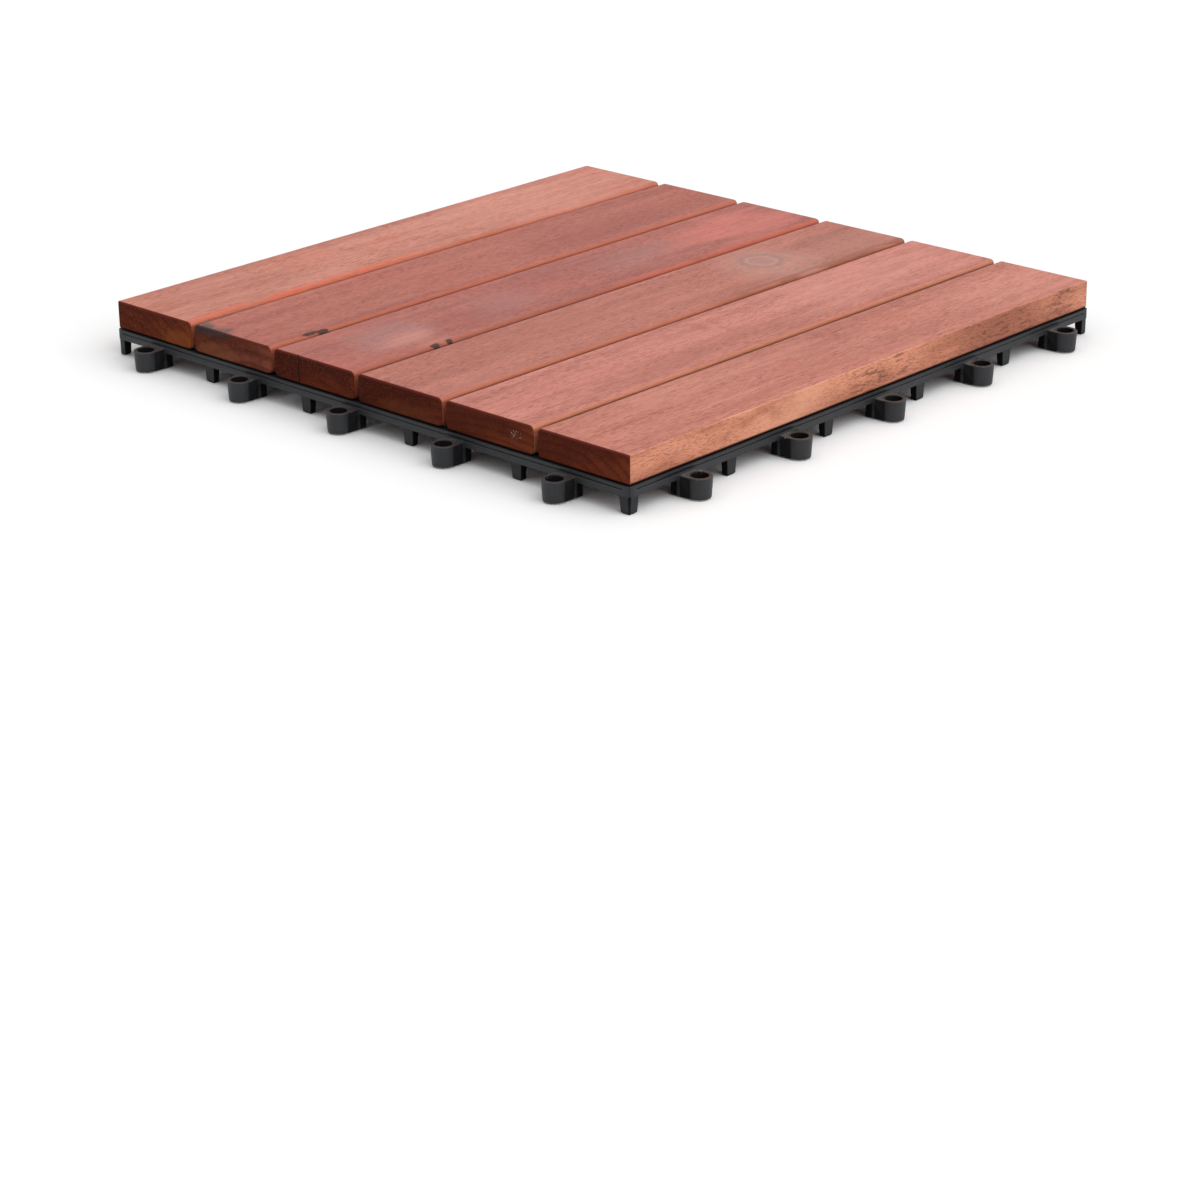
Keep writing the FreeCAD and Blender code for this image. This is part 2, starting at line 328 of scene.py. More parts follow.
def end_grain(name, centre, half_width, look, marks):
    """Sawn ends: the end grain soaks up the oil and goes dark."""
    n = material_nodes(name)
    seed = look.seed
    across = n.x - centre
    cloudy = n.cloud((9, 90, 5), seed=seed + 37, detail=3.0)
    # the lower corner on the right is warmer and lighter
    slope = (across / half_width + (SLAT_LOW + 5.0 - n.z) / 7.0) * 0.28 + cloudy
    colour = n.blend(slope.rise(0.3, 0.95), look.end, look.end_light)
    colour = n.blend(rings(n, across, look) * 0.45, colour, look.end_rings_and_shade)
    scratch = n.cloud((0.7, 30, 3.0), seed=seed + 41, detail=2.0)
    colour = n.blend(scratch.rise(0.5, 0.75) * 0.35, colour, look.end_rings_and_shade)
    dots = n.cloud((0.45, 30, 0.45), seed=seed + 31, detail=0.0)
    colour = n.blend(dots.rise(0.68, 0.78) * 0.35, colour, look.flank_dark)
    colour = n.blend(dots.fall(0.2, 0.32) * 0.6, colour, look.end_rings_and_shade)
    # the broken upper edge is a thin maroon line; the lower one is painted nearly black, as painted
    # shade over the rail
    colour = n.blend(n.z.rise(SLAT_TOP - 1.1, SLAT_TOP - 0.6) * 0.6, colour, look.arris)
    colour = n.blend(n.z.fall(SLAT_LOW + 0.3, SLAT_LOW + 1.0) * 0.8, colour, look.end_rings_and_shade)
    for mark in marks:
        colour = mark(n, across, colour)
    rough = 0.62 + 0.2 * cloudy
    height = 0.5 + scratch * 0.3 + cloudy * 0.2 - dots.rise(0.6, 0.7) * 0.3
    return n.finish(colour, rough, height, 0.16 * MM, {"IOR": 1.47, "Specular IOR Level": 0.08})


def patch(x, y, across_size, along_size, colour, strength, seed, soft=0.45):
    """A stain with a ragged edge, x from the slat's middle and y along it."""
    def paint(n, across, base):
        dx = (across - x) / across_size
        dy = (n.y - y) / along_size
        far = (dx * dx + dy * dy).math("SQRT")
        ragged = far + (n.cloud((7, 40, 7), seed=seed, detail=4.0) - 0.5) * 2.2
        lines = n.cloud((1.6, 22, 1.6), seed=seed + 2, detail=2.0)
        grain = 0.55 + 0.45 * lines.rise(0.35, 0.65)
        return n.blend(ragged.fall(0.9 - soft, 1.1 + soft) * grain * strength, base, colour)
    return paint


def spot(x, y, across_size, along_size, colour):
    """A small dark hole or pitch pocket with a crisp edge."""
    def paint(n, across, base):
        dx = (across - x) / across_size
        dy = (n.y - y) / along_size
        ragged = (n.cloud((1.2, 3, 1.2), seed=x) - 0.5) * 1.2
        far = (dx * dx + dy * dy).math("SQRT") + ragged
        return n.blend(far.fall(0.6, 1.1) * 0.9, base, colour)
    return paint


def knot(x, y, size, dark, pale, seed):
    """A knot: a round heart with a dark rim, and pale rings that open out to the right."""
    def paint(n, across, base):
        dx = (across - x) / size
        dy = (n.y - y) / size
        ragged = (n.cloud((5, 9, 5), seed=seed, detail=3.0) - 0.5) * 0.7
        far = (dx * dx + dy * dy).math("SQRT") + ragged
        drawn = far - dx * 0.3
        ring = abs((drawn * 1.8).math("FRACT") - 0.5).rise(0.15, 0.5)
        base = n.blend(drawn.fall(0.8, 3.2) * 0.55, base, pale)
        base = n.blend(drawn.fall(1.0, 3.0) * ring * 0.3, base, dark)
        base = n.blend(far.fall(0.8, 1.1) * 0.35, base, dark)
        base = n.blend(far.near(0.95, 0.35) * 0.55, base, dark)
        return n.blend(far.near(0.6, 0.28) * 0.5, base, pale)
    return paint


def streaks(x, width, y0, y1, colour, strength, seed):
    """A dark or bright streak that runs along the slat between y0 and y1."""
    def paint(n, across, base):
        wander = (n.cloud((40, 60, 40), seed=seed) - 0.5) * width * 1.2
        near = abs(across - x + wander).fall(width * 0.3, width)
        soft = (y1 - y0) * 0.25
        run = n.y.rise(y0, y0 + soft) * n.y.fall(y1 - soft, y1)
        broken = n.cloud((2.5, 18, 2.5), seed=seed + 2, detail=3.0).rise(0.3, 0.55)
        return n.blend(near * run * broken * strength, base, colour)
    return paint


def split(x, width, colour):
    """A drying split on the near sawn end, from top to bottom."""
    def paint(n, across, base):
        wander = (n.cloud((30, 30, 3.0), seed=4.0, detail=2.0) - 0.5) * 1.2
        line = abs(across - x + wander).fall(width * 0.5, width)
        return n.blend(line * n.y.fall(NEAR_END + 2.5, NEAR_END + 6.5) * 0.9, base, colour)
    return paint


def end_stain(x, z, across_size, high_size, colour, strength, seed):
    """A stain on the near sawn end, x from the slat's middle."""
    def paint(n, across, base):
        dx = (across - x) / across_size
        dz = (n.z - z) / high_size
        ragged = (n.cloud((5, 9, 2.5), seed=seed) - 0.5) * 1.4
        far = (dx * dx + dz * dz).math("SQRT") + ragged
        at_end = n.y.fall(NEAR_END + 4.0, NEAR_END + 9.0)
        return n.blend(far.fall(0.6, 1.3) * at_end * strength, base, colour)
    return paint


def specks(x, z, colour, seed):
    """A few pale specks on the near sawn end, around x and z."""
    def paint(n, across, base):
        near = abs(across - x).fall(1.5, 4.0) * abs(n.z - z).fall(0.8, 2.2)
        near = near * n.y.fall(NEAR_END + 4.0, NEAR_END + 9.0)
        spots = n.cloud((0.7, 9, 0.7), seed=seed, detail=0.0).rise(0.62, 0.7)
        return n.blend(near * spots * 0.8, base, colour)
    return paint


def black_plastic(name, look, sizes):
    """Satin black polypropylene with the fine drag lines that a mould leaves."""
    n = material_nodes(name)
    level = n.cloud((60, 60, 0.3), seed=2.0, detail=2.0)
    upright = n.cloud((0.45, 0.45, 20), seed=5.0, detail=2.0)
    # the loops were drawn upwards out of the mould, the rail along its length
    right = n.x.rise(RAIL_FACE + 0.2, RAIL_FACE + 0.9)
    front = n.y.fall(-RAIL_FACE - 0.9, -RAIL_FACE - 0.2)
    out = (right + front).clamp()
    lines = upright * out + level * (1.0 - out)
    dust = n.cloud((14, 14, 9), seed=9.0, detail=5.0, rough=0.6)
    grain = n.cloud((0.22, 0.22, 0.22), seed=12.0, detail=1.0)
    colour = n.blend(dust.rise(0.4, 0.7) * 0.7, look.black, look.black_worn)
    colour = n.blend(lines.rise(0.45, 0.7) * 0.5, colour, look.black_worn)
    rim_z = sizes.loop_top / MM
    rim = out * n.z.rise(rim_z - 0.45, rim_z - 0.05)
    colour = n.blend(rim * 0.55, colour, look.rim)
    # painted shade: the bores, the arms behind them and all that lies under the slats are painted
    # darker and get a less glossy coat, for the shade that falls in them
    shift, pitch = sizes.loop_shift / MM, sizes.cell / MM
    depth = right * n.x - front * n.y - out * (RAIL_FACE + sizes.loop_reach / MM)
    beside = right * (n.y - shift) + front * (n.x + shift)
    beside = ((beside / pitch + 0.5).math("FRACT") - 0.5) * pitch
    bore = (depth * depth + beside * beside).math("SQRT").fall(*IN_BORE)
    arm = depth.fall(-0.9, 0.2) * n.z.fall(rim_z - 0.4, rim_z - 0.1) * 0.85
    inner = abs(n.x).math("MAXIMUM", abs(n.y)).fall(RAIL_FACE - 1.1, RAIL_FACE - 0.6)
    dull = (out * (bore + arm) + inner).clamp()
    n.dull = (dull, 0.05)
    colour = n.blend(dull * 0.75, colour, look.shade)
    # painted highlights: whitish specks in patches on the loops' upper rims
    rim_glints = n.cloud((0.8, 0.8, 0.5), seed=21.0, detail=1.0).rise(0.68, 0.72)
    glint_patches = n.cloud((16, 16, 30), seed=23.0).rise(0.5, 0.56)
    rim_glints = rim_glints * glint_patches * out * n.z.rise(rim_z - 0.9, rim_z - 0.4)
    colour = n.blend(rim_glints * 0.7, colour, look.rim_glint)
    rough = 0.38 + 0.16 * dust + 0.12 * lines + 0.25 * dull
    height = lines * 0.6 + grain * 0.25 + dust * 0.1
    return n.finish(colour, rough, height, 0.07 * MM, {"IOR": 1.49, "Specular IOR Level": 0.42})


def screw_steel(name, look):
    """Dull plated steel with a faint turned grain."""
    n = material_nodes(name)
    worn = n.cloud((1.1, 1.1, 1.1), seed=3.0, detail=4.0)
    fine = n.cloud((0.2, 0.2, 0.9), seed=6.0, detail=2.0)
    colour = n.blend(worn.rise(0.35, 0.7), look.steel, look.steel_dark)
    return n.finish(colour, 0.3 + 0.22 * worn, fine, 0.03 * MM, {"Metallic": 1.0})


def pale_floor(name, look):
    """Pale matt floor with soft shadows, seen whiter than the light that it throws back."""
    n = material_nodes(name)
    mottle = n.cloud((400, 400, 400), seed=1.0, detail=2.0)
    thrown = n.blend(mottle.rise(0.3, 0.7), look.floor, tuple(v * 1.02 for v in look.floor))
    colour = n.blend(n.seen_directly(), thrown, look.floor_seen)
    return n.finish(colour, 0.9 + 0.02 * mottle, mottle, 0.0, {"Specular IOR Level": 0.0})


def piece(name, bm, materials):
    """Turns a bmesh into a finished piece that rides on the tile."""
    mesh = bpy.data.meshes.new(name)
    bm.to_mesh(mesh)
    bm.free()
    for polygon in mesh.polygons:
        polygon.use_smooth = True
    obj = bpy.data.objects.new(name, mesh)
    bpy.context.scene.collection.objects.link(obj)
    for material in materials:
        mesh.materials.append(material)
    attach(obj, "root")
    weighted = obj.modifiers.new("even_shading", "WEIGHTED_NORMAL")
    weighted.keep_sharp = True
    return obj


def sharp_edges(bm, angle):
    return [e for e in bm.edges if e.is_manifold and e.calc_face_angle(0.0) > math.radians(angle)]


def round_edges(bm, edges, width, segments):
    return bmesh.ops.bevel(bm, geom=edges, affect="EDGES", offset=width, offset_type="OFFSET",
                           segments=segments, profile=0.5, clamp_overlap=False, material=-1)


def slat_mesh(box, sizes, seed):
    """One slat: rounded long edges, eased ends, and arrises that wander a little."""
    low, high = Vector(box[0]), Vector(box[1])
    middle = (low + high) / 2
    half = (high - low) / 2
    bm = bmesh.new()
    bmesh.ops.create_cube(bm, size=1.0)
    bmesh.ops.scale(bm, vec=high - low, verts=bm.verts)
    bmesh.ops.translate(bm, vec=middle, verts=bm.verts)
    for x in (low.x, high.x):
        edges = [e for e in bm.edges if all(abs(v.co.x - x) < SAME for v in e.verts)
                 and abs(e.verts[0].co.y - e.verts[1].co.y) > half.y]
        if abs(x) > sizes.outer_from:
            round_edges(bm, edges, sizes.outer_radius, 3)
        else:
            round_edges(bm, edges, sizes.edge_radius, 6)
    ends = [e for e in bm.edges if abs(e.verts[0].co.y - e.verts[1].co.y) < SAME
            and len({round(f.normal.y, 3) for f in e.link_faces}) > 1]
    round_edges(bm, ends, sizes.end_ease, 3)
    for i in range(1, sizes.stations):
        y = low.y + (high.y - low.y) * i / sizes.stations
        bmesh.ops.bisect_plane(bm, geom=bm.verts[:] + bm.edges[:] + bm.faces[:],
                               dist=NEARLY_SAME, plane_co=(0, y, 0), plane_no=(0, 1, 0))
    for v in bm.verts:
        # only the arrises move, always inwards, so that the slat stays inside its box
        away = v.co.x - middle.x
        if abs(away) > ARRIS_FROM * half.x and abs(v.co.y) < half.y - STRAIGHT_END:
            along, up = v.co.y * SWAYS_ALONG, v.co.z * SWAYS_UP
            sway = noise.noise(Vector((seed + math.copysign(3, away), along, up)))
            v.co.x -= math.copysign(max(0.0, sway) * sizes.arris_sway, away)
    for f in bm.faces:
        f.material_index = 1 if abs(f.calc_center_median().y) > half.y - sizes.end_ease else 0
    return bm


def grid_mesh(sizes):
    """The moulded grid with its rims and outer edges eased, the loops tapered downwards."""
    bm = bmesh.new()
    bm.from_mesh(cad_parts["base_grid"].data)
    bmesh.ops.remove_doubles(bm, verts=bm.verts, dist=SAME)
    bmesh.ops.dissolve_limit(bm, angle_limit=FLAT, verts=bm.verts, edges=bm.edges)
    taper_loops(bm, sizes)
    round_edges(bm, [e for e in sharp_edges(bm, 40) if on_loop_rim(e)], sizes.loop_ease, 3)
    # edges that point inwards and those of the fine line stay crisp
    outer = [e for e in sharp_edges(bm, 50) if e.is_convex and not in_fine_line(e, sizes)]
    round_edges(bm, outer, sizes.mould_ease, 2)
    return bm


def on_loop_rim(edge):
    """Whether an edge belongs to the upper or lower rim of a loop."""
    a, b = (v.co for v in edge.verts)
    beyond = max(a.x, b.x) > HALF + PAST_RAIL or min(a.y, b.y) < -HALF - PAST_RAIL
    level = abs(a.z - b.z) < LEVEL
    return beyond and level and (a.z > UPPER_RIM or a.z < LOWER_RIM)


def in_fine_line(edge, sizes):
    """Whether an edge belongs to the fine line round the rail, which stays crisp."""
    inside = HALF - sizes.line_depth
    return all(sizes.line_bottom < v.co.z < sizes.line_top
               and max(abs(v.co.x), abs(v.co.y)) > inside for v in edge.verts)


def taper_loops(bm, sizes):
    """Draws the outside of each loop in towards its lower end."""
    out = HALF + sizes.loop_reach
    for v in bm.verts:
        for axis, other, sign in ((1, 0, -1), (0, 1, 1)):
            if sign * v.co[axis] < HALF + PAST_RAIL / 2:
                continue
            shift = sign * sizes.loop_shift
            nearest = round((v.co[other] - shift) / sizes.cell) * sizes.cell + shift
            to_axis = Vector((0, 0, 0))
            to_axis[other] = nearest - v.co[other]
            to_axis[axis] = sign * out - v.co[axis]
            round_side = BARREL[0] < to_axis.length < BARREL[1]
            if round_side and sign * v.co[axis] > out - BARREL_BACK:
                down = 1.0 - v.co.z / sizes.loop_top
                v.co += to_axis.normalized() * sizes.loop_taper * max(0.0, down)


def screw_mesh(x, y, sizes):
    """Pan-headed screw with a cross recess, head down."""
    bm = bmesh.new()
    radius = sizes.screw_head / 2
    shank = sizes.screw_shank / 2
    top = SEAT_Z - sizes.strip_thickness
    low = top - sizes.screw_head_height
    tip = top + sizes.screw_length
    profile = [(1.9 * MM, low), (radius * 0.86, low + 0.2 * MM), (radius * 0.97, low + 0.7 * MM),
               (radius, top), (shank, top), (shank, tip - 1.35 * MM), (0.2 * MM, tip)]
    verts = [bm.verts.new((r, 0, z)) for r, z in profile]
    edges = [bm.edges.new(pair) for pair in zip(verts, verts[1:])]
    bmesh.ops.spin(bm, geom=verts + edges, cent=(0, 0, 0), axis=(0, 0, 1), dvec=(0, 0, 0),
                   angle=2 * math.pi, steps=24, use_merge=True, use_duplicate=False)
    bmesh.ops.remove_doubles(bm, verts=bm.verts, dist=NEARLY_SAME)
    rim = [e for e in bm.edges if e.is_boundary and abs(e.verts[0].co.z - low) < SAME]
    # the cross recess: a is half the width of its arms, b their reach
    a, b = sizes.cross_width / 2, sizes.cross_reach / 2
    corners = [(a, b), (a, a), (b, a), (b, -a), (a, -a), (a, -b),
               (-a, -b), (-a, -a), (-b, -a), (-b, a), (-a, a), (-a, b)]
    cross = [bm.verts.new((u, v, low)) for u, v in corners]
    ring = [bm.edges.new((cross[i - 1], cross[i])) for i in range(12)]
    bmesh.ops.bridge_loops(bm, edges=rim + ring)
    floor = bm.faces.new(cross)
    pushed = bmesh.ops.extrude_face_region(bm, geom=[floor])
    deep = [g for g in pushed["geom"] if isinstance(g, bmesh.types.BMVert)]
    bmesh.ops.translate(bm, vec=(0, 0, sizes.cross_depth), verts=deep)
    bmesh.ops.scale(bm, vec=(0.6, 0.6, 1), verts=deep)
    bmesh.ops.holes_fill(bm, edges=[e for e in bm.edges if e.is_boundary])
    bmesh.ops.recalc_face_normals(bm, faces=bm.faces)
    bmesh.ops.rotate(bm, cent=(0, 0, 0), verts=bm.verts,
                     matrix=Matrix.Rotation(noise.random() * math.pi, 3, "Z"))
    bmesh.ops.translate(bm, vec=(x, y, 0), verts=bm.verts)
    return bm


def colour_property(name, description, default):
    return FloatVectorProperty(name=name, description=description, default=default, size=3,
                               subtype="COLOR", min=0.0, max=1.0)


def length_property(name, description, default):
    return FloatProperty(name=name, description=description, default=default, min=0.0,
                         subtype="DISTANCE", unit="LENGTH", precision=5)


def angle_property(name, description, degrees):
    return FloatProperty(name=name, description=description, default=math.radians(degrees),
                         subtype="ANGLE", unit="ROTATION")


def power_property(name, description, default):
    return FloatProperty(name=name, description=description, default=default, min=0.0)


class TileSizes(bpy.types.PropertyGroup):
    """Sizes of what the looks add to the frame."""
    edge_radius: length_property(
        "Long edge radius", "Rounding of the slats' edges along the joints", 2.0 * MM)
    outer_radius: length_property(
        "Outer edge radius", "Rounding of the tile's two outer long edges", 0.5 * MM)
    outer_from: length_property(
        "Outer from", "Faces further out than this are the tile's outer sides", 140 * MM)
    end_ease: length_property("End ease", "Easing of the slats' sawn ends", 0.6 * MM)
    arris_sway: length_property("Arris sway", "How far a slat's edges wander inwards", 0.25 * MM)
    stations: IntProperty(name="Stations", description="Cross-sections along a slat",
                          default=40, min=4)
    mould_ease: length_property("Mould ease", "Rounding of the grid's edges", 0.13 * MM)
    loop_ease: length_property("Loop ease", "Rounding of the loops' rims", 0.32 * MM)
    loop_taper: length_property(
        "Loop taper", "How far the loops draw in at their lower end", 0.55 * MM)
    loop_reach: length_property("Loop reach", "Bore axis beyond the rail", 6.2 * MM)
    loop_shift: length_property("Loop shift", "Bore axis beside the cell's middle", 3.0 * MM)
    loop_top: length_property("Loop top", "Height of the loops' upper rim", 9.2 * MM)
    cell: length_property("Cell", "Pitch of the loops", 60.0 * MM)
    line_bottom: length_property(
        "Line bottom", "The fine line round the rail lies above this", 9.6 * MM)
    line_top: length_property(
        "Line top", "The fine line round the rail lies below this", 10.5 * MM)
    line_depth: length_property(
        "Line depth", "The fine line is nowhere deeper than this", 1.7 * MM)
    strip_thickness: length_property(
        "Strip thickness", "Plastic between the screw heads and the slats", 2.0 * MM)
    screw_head: length_property("Screw head", "Diameter of the screw heads", 6.4 * MM)
    screw_head_height: length_property("Head height", "Height of the screw heads", 1.8 * MM)
    screw_shank: length_property("Screw shank", "Diameter of the screws", 3.2 * MM)
    screw_length: length_property("Screw length", "Screw beyond its head", 9.95 * MM)
    cross_width: length_property("Cross width", "Width of the cross recess's arms", 0.7 * MM)
    cross_reach: length_property("Cross reach", "Cross recess from end to end", 3.0 * MM)
    cross_depth: length_property("Cross depth", "Depth of the cross recess", 1.1 * MM)


class SlatLook(bpy.types.PropertyGroup):
    """Colours and grain of one slat."""
    light: colour_property("Light", "Pale streaks", (0.55, 0.20, 0.14))
    dark: colour_property("Dark", "Darker streaks", (0.40, 0.13, 0.09))
    warm: colour_property("Warm", "Warm blotches", (0.52, 0.16, 0.10))
    deep: colour_property("Deep", "Pores and late wood", (0.17, 0.040, 0.024))
    edge: colour_property("Edge", "Rounded edges along the joints", (0.33, 0.085, 0.040))
    edge_strength: FloatProperty(
        name="Edge strength", description="How much the edges differ from the top",
        default=0.7, min=0.0, max=1.0, subtype="FACTOR")
    # the joint walls' colour is partly painted shade; the flecks on the sawn side take the same
    # colour
    joint_shade_and_fleck: colour_property("Joint shade and fleck", "Painted shade in the joints, and the flecks on the sawn side", (0.12, 0.028, 0.014))
    flank_light: colour_property("Flank light", "Sawn long side, pale", (0.84, 0.34, 0.21))
    flank_dark: colour_property("Flank dark", "Sawn long side, dark", (0.52, 0.19, 0.11))
    flank_pale: colour_property(
        "Flank pale", "Palest stretch of the sawn long side", (0.90, 0.42, 0.27))
    end: colour_property("End", "End grain", (0.105, 0.020, 0.009))
    end_light: colour_property("End light", "Paler end grain", (0.21, 0.050, 0.020))
    # the darkest end grain colour also serves for the painted shade along the slats' lower edges
    end_rings_and_shade: colour_property("End rings and shade", "Rings on the end grain, and painted shade along the lower edges", (0.05, 0.010, 0.005))
    arris: colour_property("Arris", "Broken upper edge of the ends", (0.17, 0.032, 0.022))
    pith: FloatVectorProperty(
        name="Pith", description="Centre of the rings from the slat's middle, in mm",
        default=(0.0, -60.0), size=2)
    ring_pitch: FloatProperty(
        name="Ring pitch", description="Growth rings, in mm", default=5.0, min=0.5)
    ring_strength: FloatProperty(
        name="Ring strength", description="How much the late wood shows",
        default=0.1, min=0.0, max=1.0, subtype="FACTOR")
    pore_strength: FloatProperty(
        name="Pore strength", description="How much the pores show",
        default=0.42, min=0.0, max=1.0, subtype="FACTOR")
    seed: FloatProperty(name="Seed", description="Where the grain is taken from", default=0.0)


class TileColours(bpy.types.PropertyGroup):
    """Colours of the grid, the screws and the stage."""
    black: colour_property("Plastic", "Black plastic", (0.0125, 0.0135, 0.0155))
    black_worn: colour_property("Worn plastic", "Rubbed and dusty plastic", (0.025, 0.027, 0.031))
    # the shade colour is painted shade in the bores, on the loops' arms and under the slats
    shade: colour_property(
        "Shade", "Painted shade inside the bores, on the arms and under the slats", (0.006, 0.006, 0.0065))
    rim: colour_property("Rim", "Upper rims of the loops", (0.045, 0.028, 0.022))
    # painted highlights: whitish specks on the loops' upper rims
    rim_glint: colour_property("Rim glint", "Painted highlights on the rims", (0.55, 0.55, 0.55))
    steel: colour_property("Steel", "Plated steel", (0.55, 0.54, 0.50))
    steel_dark: colour_property("Dark steel", "Tarnished steel", (0.34, 0.33, 0.31))
    floor: colour_property(
        "Floor", "Pale floor, for the light that it throws back", (0.32, 0.32, 0.32))
    floor_seen: colour_property(
        "Floor seen", "The same floor as the camera sees it", (1.0, 1.0, 1.0))


class TileStage(bpy.types.PropertyGroup):
    """Camera and lights."""
    azimuth: angle_property("Azimuth", "Camera's way round the tile", 42.8487)
    elevation: angle_property("Elevation", "Camera's height angle", 22.4042)
    roll: angle_property("Roll", "Camera's tilt", -0.5663)
    distance: length_property("Distance", "Camera from its target", 1.13162)
    target: FloatVectorProperty(
        name="Target", description="Point at the middle of the picture",
        default=(0.21705, -0.23919, 0.012), size=3, subtype="TRANSLATION", unit="LENGTH")
    lens: FloatProperty(
        name="Lens", description="Focal length in mm on a 36 mm sensor", default=98.552, min=1.0)
    sky: power_property("Sky", "Strength of the even light", 0.46)
    key: power_property("Key", "Strength of the soft lamp on the right", 1.47)
    top: power_property("Top", "Strength of the soft lamp overhead", 0.84)
    fill: power_property("Fill", "Strength of the soft lamp in front", 0.25)


# Colours are linear, and lengths are in millimetres from the slat's middle.
SLAT_LOOKS = {
    "slat_1": {
        "light": (0.63, 0.252, 0.182), "dark": (0.48, 0.158, 0.104),
        "warm": (0.60, 0.180, 0.112), "edge": (0.50, 0.132, 0.066),
        "end": (0.13, 0.022, 0.009), "end_light": (0.26, 0.055, 0.018),
        "pith": (-30.0, -40.0), "ring_pitch": 4.6, "seed": 1.0,
    },
    "slat_2": {
        "light": (0.48, 0.145, 0.104), "dark": (0.35, 0.090, 0.062),
        "warm": (0.46, 0.108, 0.072), "edge": (0.50, 0.140, 0.078),
        "end": (0.14, 0.030, 0.016), "end_light": (0.30, 0.085, 0.050),
        "pith": (14.0, -70.0), "ring_pitch": 5.2, "seed": 8.0,
    },
    "slat_3": {
        "light": (0.48, 0.152, 0.118), "dark": (0.31, 0.084, 0.062),
        "warm": (0.48, 0.118, 0.087), "edge": (0.38, 0.110, 0.062),
        "end": (0.075, 0.011, 0.005), "end_light": (0.16, 0.028, 0.011),
        "pith": (-8.0, -50.0), "ring_pitch": 6.0, "seed": 15.0,
    },
    "slat_4": {
        "light": (0.53, 0.185, 0.134), "dark": (0.38, 0.115, 0.080),
        "warm": (0.47, 0.152, 0.100), "edge": (0.49, 0.150, 0.080),
        "end": (0.075, 0.011, 0.005), "end_light": (0.155, 0.027, 0.011),
        "pith": (22.0, -34.0), "ring_pitch": 4.4, "seed": 22.0,
    },
    "slat_5": {
        "light": (0.64, 0.232, 0.180), "dark": (0.46, 0.145, 0.106),
        "warm": (0.58, 0.182, 0.134), "edge": (0.54, 0.200, 0.105),
        "end": (0.11, 0.019, 0.008), "end_light": (0.22, 0.047, 0.018),
        "pith": (4.0, -90.0), "ring_pitch": 3.6, "seed": 29.0,
    },
    "slat_6": {
        "light": (0.61, 0.222, 0.160), "dark": (0.46, 0.144, 0.096),
        "warm": (0.56, 0.180, 0.120), "edge": (0.48, 0.165, 0.085),
        "end": (0.11, 0.018, 0.008), "end_light": (0.21, 0.042, 0.016),
        "pith": (-18.0, -46.0), "ring_pitch": 3.9, "seed": 36.0,
    },
}

RED = (0.66, 0.12, 0.052)
LILAC = (0.34, 0.165, 0.15)
UMBER = (0.022, 0.010, 0.008)
PINK = (0.62, 0.165, 0.125)
PALE = (0.72, 0.30, 0.225)
BROWN = (0.38, 0.125, 0.078)
MAROON = (0.29, 0.070, 0.052)
SOOT = (0.055, 0.042, 0.042)

SLAT_MARKS = {
    "slat_1": [
        patch(0.0, -112.0, 20.0, 40.0, BROWN, 0.5, 7.0),
        patch(0.0, 96.0, 22.0, 60.0, PALE, 0.5, 17.0),
        streaks(21.4, 2.8, -175, 10, RED, 0.7, 2.0),
    ],
    "slat_2": [
        patch(4.0, 60.0, 16.0, 46.0, MAROON, 0.5, 13.0),
        patch(-18.5, -150.0, 16.0, 6.0, SOOT, 1.0, 5.0, 0.3),
        streaks(-22.3, 1.3, -160, -112, UMBER, 0.7, 3.0),
        spot(22.3, -125.0, 1.1, 5.0, UMBER),
        spot(23.0, -118.5, 0.9, 4.0, UMBER),
    ],
    "slat_3": [
        patch(0.0, -104.0, 12.0, 22.0, LILAC, 0.7, 3.0),
        patch(9.0, -103.0, 8.0, 14.0, PALE, 0.42, 41.0),
        patch(3.0, -42.0, 9.0, 20.0, LILAC, 0.45, 5.0),
        patch(0.0, 48.0, 9.0, 26.0, LILAC, 0.5, 12.0),
        patch(3.0, 118.0, 18.0, 34.0, PINK, 0.75, 8.0),
        patch(8.0, -70.0, 10.0, 16.0, MAROON, 0.6, 16.0),
        patch(-10.0, 0.0, 9.0, 40.0, MAROON, 0.55, 20.0),
        patch(-8.0, -138.0, 16.0, 10.0, MAROON, 0.4, 26.0),
        streaks(22.4, 2.2, -10, 190, (0.56, 0.125, 0.078), 0.62, 32.0),
        spot(22.8, -101.5, 1.4, 3.0, UMBER),
        spot(22.9, -93.5, 1.6, 2.2, UMBER),
    ],
    "slat_4": [
        knot(-3.0, 79.0, 10.2, (0.30, 0.155, 0.145), (0.54, 0.27, 0.205), 4.0),
        patch(6.0, 124.0, 15.0, 22.0, (0.36, 0.165, 0.12), 0.5, 14.0),
        patch(-4.0, -50.0, 13.0, 50.0, BROWN, 0.4, 24.0),
        streaks(22.4, 3.0, 0, 190, (0.27, 0.085, 0.045), 0.75, 30.0),
    ],
    "slat_5": [
        patch(-2.0, 92.0, 18.0, 60.0, PALE, 0.5, 7.0),
        patch(12.0, -60.0, 8.0, 60.0, BROWN, 0.45, 9.0),
    ],
    "slat_6": [
        patch(-12.0, -70.0, 8.0, 60.0, PALE, 0.3, 11.0),
        patch(6.0, 20.0, 11.0, 60.0, BROWN, 0.3, 15.0),
        patch(0.0, 120.0, 18.0, 34.0, PALE, 0.3, 19.0),
    ],
}

END_MARKS = {
    "slat_1": [end_stain(16.0, 14.0, 12.0, 5.0, (0.30, 0.085, 0.024), 0.5, 2.0)],
    "slat_2": [end_stain(-17.0, 23.0, 16.0, 2.6, SOOT, 0.75, 5.0),
               end_stain(-10.0, 14.5, 13.0, 4.0, (0.30, 0.10, 0.045), 0.5, 8.0)],
    "slat_3": [split(-9.0, 0.5, (0.012, 0.005, 0.003))],
    "slat_4": [end_stain(4.0, 14.0, 16.0, 4.0, (0.15, 0.040, 0.014), 0.5, 12.0)],
    "slat_5": [specks(14.5, 18.5, (0.55, 0.45, 0.38), 3.0)],
}


